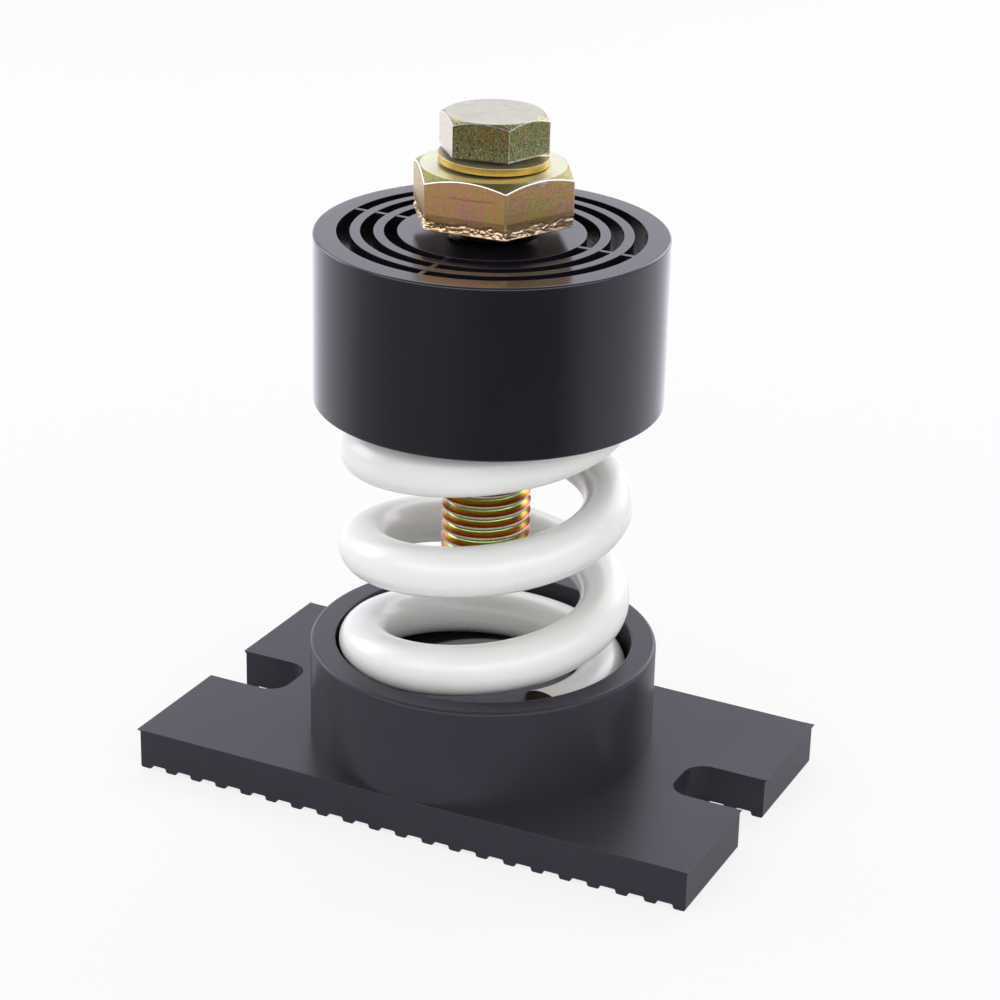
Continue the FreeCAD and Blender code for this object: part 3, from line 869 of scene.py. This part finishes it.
def torn_band(head):
    """Crumples the lowest stretch of the head's sides, where the blank was sheared."""
    band_top = head_low + torn_reach
    alone(head)
    open_edit()
    bpy.ops.mesh.bisect(plane_co=(0, 0, band_top), plane_no=(0, 0, 1), threshold=cut_tolerance)
    pick(head, "EDGE", lambda one, two: abs(one.z - two.z) < hair
         and head_low + near < one.z < band_top + near and (one - two).length > 4 * MM)
    bpy.ops.mesh.subdivide(number_cuts=torn_columns - 1)
    pick(head, "EDGE", lambda one, two: abs(one.z - two.z) > torn_reach / 2
         and max(one.z, two.z) < band_top + near)
    bpy.ops.mesh.subdivide(number_cuts=torn_rows - 1)
    mesh = bmesh.from_edit_mesh(head.data)
    for vert in mesh.verts:
        place = vert.co / MM
        above = vert.co.z - head_low
        on_side = radius_of(vert.co) > head_flats / 2 - MM
        if above < torn_lip or above > torn_reach - near or not on_side:
            continue
        wave = crumple.noise(Vector((place.x / 2.4, place.y / 2.4, 5.0)))
        ragged = torn_reach - ragged_height - ragged_swing * wave
        inside = min(max((ragged - above) / torn_fade, 0.0), 1.0)
        inside *= min((above - torn_lip) / torn_lip, 1.0)
        fold = crumple.noise(Vector((place.x / 2.6, place.y / 2.6, place.z / 0.9)))
        valley = math.exp(-((abs(fold) - fold_line) / fold_width) ** 2)
        fine = crumple.noise(Vector((place.x / 0.7, place.y / 0.7, place.z / 0.4)))
        sink = torn_depth * inside * (0.8 * valley + 0.3 * fine)
        share = 1 - max(sink, 0.0) / radius_of(vert.co)
        vert.co.x *= share
        vert.co.y *= share
    bmesh.update_edit_mesh(head.data)
    close_edit()


def drawn_section(name, points):
    """An open chain of edges in the XZ plane through the points, drawn one after another."""
    section = begin(name, bpy.ops.mesh.primitive_plane_add, size=MM,
                    location=(points[0][0], 0, points[0][1]))
    bpy.ops.mesh.select_mode(type="VERT")
    bpy.ops.mesh.select_all(action="SELECT")
    bpy.ops.mesh.merge(type="CENTER")
    for before, after in zip(points, points[1:]):
        step = (after[0] - before[0], 0, after[1] - before[1])
        bpy.ops.mesh.extrude_vertices_move(TRANSFORM_OT_translate={"value": step})
    close_edit()
    return section


def turned(piece, degrees, rise, steps, repeats=1):
    """Sweeps a drawn section round the upright axis while it climbs."""
    screw = piece.modifiers.new("screw", "SCREW")
    screw.angle = math.radians(degrees)
    screw.screw_offset = rise
    screw.iterations = repeats
    screw.steps = steps
    screw.render_steps = steps
    screw.use_merge_vertices = True
    screw.merge_threshold = MM / 1000
    screw.use_normal_calculate = True
    bpy.ops.object.modifier_apply(modifier=screw.name)


def threaded_shank(name, radius, pitch, depth, crest, low, high, steps):
    """A right-handed thread with a flat crest and a rounded root, cut square at both ends."""
    flank = (pitch - crest) / 2
    points = [(radius - depth * sink, flank * share) for share, sink in flank_shape]
    points += [(radius - depth * sink, flank * (2 - share))
               for share, sink in reversed(flank_shape[:-1])]
    points.append((radius, pitch))
    turns = math.ceil((high - low) / pitch) + 3
    start = low - 2 * pitch
    shank = drawn_section(name, [(across, start + up) for across, up in points])
    turned(shank, 360, pitch, steps, turns)
    open_edit()
    bpy.ops.mesh.remove_doubles(threshold=hair / 2)
    cut_square(low, high)
    face_out()
    return shank


def bored(piece, radius, low, high):
    """Drills a round hole into the piece, down from its top face."""
    drill = begin("drill", bpy.ops.mesh.primitive_cylinder_add, vertices=96, radius=radius,
                  depth=high + MM - low, location=(0, 0, (high + MM + low) / 2))
    close_edit()
    cut_with(piece, drill, "DIFFERENCE")


bolt_head = hexagon_head("bolt_head", head_flats, head_low, head_top, head_turn)
bored(bolt_head, tapped_radius, head_low - 2 * MM, head_top)
soften(bolt_head, 0.32 * MM, 4, 25)
torn_band(bolt_head)
soften(bolt_head)
shank_top = head_top - head_height + head_overlap
bolt_shank = threaded_shank("levelling_shank", shank_radius, thread_pitch, thread_depth,
                            thread_crest, shank_bottom, shank_top, 96)
bored(bolt_shank, tapped_radius, head_top - tapped_depth, shank_top)
soften(bolt_shank)


def head_masks(tree, turn):
    """Masks of a hexagon head: top, chamfer, right and far facet, front, upper edge line."""
    normal = coordinate(tree, "Normal")
    up = axes(tree, normal)["Z"]
    top = remap(tree, up, 0.93, 0.97)
    chamfer = calc(tree, "SUBTRACT", remap(tree, up, 0.6, 0.8), top)
    right, far = (remap(tree, alignment(tree, normal, level_direction(turn - quarter * share)),
                        0.8, 0.95) for share in (1 / 3, 5 / 3))
    front = remap(tree, alignment(tree, normal, (front_x, front_y, 0)), 0.90, 0.96)
    line = calc(tree, "SUBTRACT", remap(tree, up, 0.06, 0.16), remap(tree, up, 0.74, 0.82))
    return top, chamfer, right, far, front, line


passivated, tree, shader = surface("yellow_zinc_head", Metallic=1.0)
local = coordinate(tree)
top, chamfer, right, far, front, line = head_masks(tree, head_turn)
height = axes(tree, local)["Z"]
streak = add_node(tree, "Mix", {0: right, 2: streaky(tree, local, 2600.0, 160.0, 3.0),
                                3: streaky(tree, local, 90.0, 1500.0, 3.0)}).outputs[0]
# Painted reflection: the film tone is raised on the right facet and lowered on the top and chamfer,
# by which way each face points; the streaks are the film's own.
thickness = calc(tree, "ADD", 0.64, times(tree, right, 0.04))
thickness = calc(tree, "ADD", thickness, swing(tree, streak, calc(tree, "ADD", 0.55, right)))
thickness = calc(tree, "SUBTRACT", thickness,
                 times(tree, calc(tree, "ADD", top, chamfer), 0.36))
film = use_group(tree, zinc, Tone=thickness, Cells=260.0)
edges = use_group(tree, edge_patch_group, Width=0.0007, Patchiness=1500.0)["Mask"]
# Painted reflection: the top is painted pale, and the right facet, far facet and chamfer are
# tinted, by which way each face points.
tone = blend(tree, times(tree, top, 0.7), film["Color"], colour(196, 198, 178))
for mask, shade in ((right, colour(206, 216, 206)), (far, colour(204, 228, 228)),
                    (chamfer, colour(190, 190, 160))):
    tone = blend(tree, mask, tone, shade, "MULTIPLY")
wavy_height = calc(tree, "ADD", height, times(tree, noise(tree, local, 90.0), 1.2 * MM))
scored = calc(tree, "SUBTRACT", 1.0, remap(tree, calc(tree, "ABSOLUTE", calc(
    tree, "SUBTRACT", wavy_height, head_top - score_drop)), 0.0, score_width))
scored = times(tree, calc(tree, "SUBTRACT", 1.0, right),
               times(tree, scored, remap(tree, noise(tree, local, 260.0), 0.42, 0.58)))
tone = blend(tree, times(tree, scored, 0.5), tone, colour(150, 108, 44))
sheared = remap(tree, height, head_low + 2.6 * MM, head_low + 1.6 * MM)
flakes = streaky(tree, local, 900.0, 2600.0, 3.0)
tone = blend(tree, times(tree, sheared, 0.45), tone, blend(
    tree, remap(tree, flakes, 0.42, 0.62), colour(190, 140, 86), colour(228, 216, 184)))
# Painted highlight: the rounded edges are painted white in patches, dark on the faces that look
# toward the camera, and the sloping band under the top is painted white.
tone = blend(tree, edges, tone, blend(tree, front, painted_highlight_white, colour(84, 80, 74)))
line = times(tree, remap(tree, height, head_top - 6 * MM, head_top - 5 * MM), line)
tone = blend(tree, line, tone, painted_highlight_white)
relief = calc(tree, "ADD", times(tree, film["Height"], 0.25), times(tree, streak, 0.35))
relief = calc(tree, "SUBTRACT", relief, times(tree, scored, 0.3))
coat(tree, shader, tone, calc(tree, "ADD", film["Roughness"], 0.12), relief, 0.5, 0.0001)
dress(bolt_head, passivated, "leveller", "yellow_zinc_large", "levelling_bolt")

threads, tree, shader = surface("yellow_zinc_thread", Metallic=1.0)
local = coordinate(tree)
spot = axes(tree, local)
wander = noise(tree, local, 420.0, 3.0)
out_share = remap(tree, from_axis(tree, spot), shank_radius - thread_depth, shank_radius)
film = ramp(tree, calc(tree, "ADD", out_share, swing(tree, wander, 0.35)), (
    (0.0, colour(150, 172, 122)), (0.25, colour(170, 170, 80)), (0.45, colour(200, 160, 50)),
    (0.68, colour(196, 112, 60)), (0.97, colour(178, 92, 84))))
rough_crest = noise(tree, local, 5200.0, 2.0)
crest = remap(tree, calc(tree, "ADD", out_share, swing(tree, rough_crest, 0.12)), 0.95, 1.0)
tone = blend(tree, crest, film, colour(226, 224, 214))
# Painted shade: the top of the thread, in the gap under the head, is painted near black.
painted_neck_shade = remap(tree, spot["Z"], head_low - 4.2 * MM, head_low - 3.6 * MM)
tone = blend(tree, painted_neck_shade, tone, colour(46, 42, 38))
coat(tree, shader, tone, remap(tree, crest, 0.0, 1.0, 0.26, 0.42),
     calc(tree, "ADD", rough_crest, wander), 0.35, 0.00006)
dress(bolt_shank, threads, "leveller", "yellow_zinc_large")


# Lock washer
# A split spring washer: a flat steel section coiled one turn, its cut ends a thickness apart,
# golden passivated on the edge. It rests on the levelling bolt and is gripped by the clamp.
washer_bottom, washer_top = heights("lock_washer")
washer_inner = 5.3 * MM
washer_outer = 9.6 * MM
washer_thickness = 1.3 * MM
washer_split = 5.0
washer_start = math.radians(28.0)
washer_upper = washer_bottom + washer_thickness
washer = drawn_section("split_washer", [
    (washer_inner, washer_bottom), (washer_outer, washer_bottom), (washer_outer, washer_upper),
    (washer_inner, washer_upper), (washer_inner, washer_bottom)])
open_edit()
bpy.ops.mesh.remove_doubles(threshold=hair)
close_edit()
turned(washer, washer_split - 360, washer_top - washer_upper, 120)
open_edit()
bpy.ops.mesh.select_mode(type="EDGE")
bpy.ops.mesh.select_all(action="DESELECT")
bpy.ops.mesh.select_non_manifold()
bpy.ops.mesh.fill_holes(sides=0)
bpy.ops.mesh.select_all(action="SELECT")
bpy.ops.transform.rotate(value=-washer_start, orient_axis="Z", center_override=(0, 0, 0))
face_out()
soften(washer, 0.12 * MM, 3)

golden, tree, shader = surface("yellow_zinc_washer")
level_face = remap(tree, axes(tree, coordinate(tree, "Normal"))["Z"], 0.3, 0.9)
film = use_group(tree, zinc, Tone=0.50, Cells=330.0)
edges = use_group(tree, edge_patch_group, Width=0.0003, Patchiness=1500.0)["Mask"]
drawn = streaky(tree, coordinate(tree), 300.0, 6000.0)
# The top face is grey olive and less metallic than the golden edge: partly its own colour, partly
# painted light that lifts it where the clamp head shades it.
tone = blend(tree, level_face, blend(tree, 0.5, film["Color"], colour(206, 172, 56)),
             colour(150, 148, 124))
tone = blend(tree, times(tree, edges, 0.6), tone, colour(226, 214, 160))
coat(tree, shader, tone, film["Roughness"],
     calc(tree, "ADD", film["Height"], drawn), 0.2, 0.00005)
tree.links.new(remap(tree, level_face, 0.0, 1.0, 1.0, 0.4), shader.inputs["Metallic"])
dress(washer, golden, "rise", "yellow_zinc_washer", "lock_washer")


# Clamp bolt
# A forged M10 hexagon bolt, grey yellow passivated, that clamps the machine's foot. Its head
# stands on the lock washer and its thread runs down inside the levelling bolt.
clamp_bottom, clamp_top = heights("clamp_bolt")
clamp_head_height = 6.4 * MM
clamp_flats = 17.0 * MM
clamp_turn = math.radians(10.7)
clamp_radius = 5.0 * MM
clamp_pitch = 1.5 * MM
clamp_thread_depth = 0.85 * MM
clamp_crest = 0.2 * MM
clamp_seat = clamp_top - clamp_head_height
clamp_head = hexagon_head("clamp_head", clamp_flats, clamp_seat, clamp_top, clamp_turn)
soften(clamp_head, 0.22 * MM, 3, 25)
clamp_shank = threaded_shank("clamp_shank", clamp_radius, clamp_pitch, clamp_thread_depth,
                             clamp_crest, clamp_bottom, clamp_seat + head_overlap, 64)
soften(clamp_shank)

forged, tree, shader = surface("yellow_zinc_clamp", Metallic=1.0)
local = coordinate(tree)
top, chamfer, right, far, front, line = head_masks(tree, clamp_turn)
pocks = streaky(tree, local, 3600.0, 1900.0, 4.0, 0.7)
blotch = noise(tree, local, 420.0, 3.0, 0.6)
low_down = remap(tree, axes(tree, local)["Z"], clamp_top - 2 * MM, clamp_seat)
speck = remap(tree, calc(tree, "ADD", noise(tree, local, 5200.0, 1.0),
                         times(tree, low_down, 0.07)), 0.63, 0.70)
film = use_group(tree, zinc, Tone=0.3, Cells=420.0)
edges = use_group(tree, edge_patch_group, Width=0.0006, Patchiness=1500.0)["Mask"]
tone = blend(tree, remap(tree, pocks, 0.38, 0.62), colour(86, 82, 50), colour(168, 158, 96))
tone = blend(tree, remap(tree, blotch, 0.48, 0.72, 0.0, 0.7), tone, colour(160, 122, 62))
tone = blend(tree, times(tree, speck, 0.8), tone, colour(226, 226, 196))
# Painted reflection: the right facet, far facet, chamfer and top get colours of their own by which
# way each face points; the pocks and blotches on them are the metal's own.
tone = blend(tree, right, tone, colour(206, 222, 226), "MULTIPLY")
tone = blend(tree, times(tree, far, 0.7), tone, colour(196, 190, 180))
tone = blend(tree, chamfer, tone, blend(
    tree, remap(tree, pocks, 0.42, 0.58), colour(104, 100, 66), colour(160, 156, 118)))
tone = blend(tree, top, tone, blend(
    tree, remap(tree, blotch, 0.4, 0.6), colour(170, 166, 150), colour(160, 158, 140)))
# Painted highlight: the rounded edges are painted white in patches, dark on the faces that look
# toward the camera, and the sloping edge faces are painted near white.
tone = blend(tree, edges, tone, blend(tree, front, painted_highlight_white, colour(70, 68, 56)))
tone = blend(tree, line, tone, colour(246, 246, 242))
# Painted reflection: the faces that point down are painted a light pink.
underside = remap(tree, axes(tree, coordinate(tree, "Normal"))["Z"], -0.06, -0.2)
tone = blend(tree, underside, tone, colour(236, 214, 204))
coat(tree, shader, tone, film["Roughness"],
     calc(tree, "ADD", film["Height"], times(tree, pocks, 1.2)), 0.3, 0.00006)
dress(clamp_head, forged, "clamp", "yellow_zinc_small", "clamp_bolt")
dress(clamp_shank, forged, "clamp", "yellow_zinc_small")
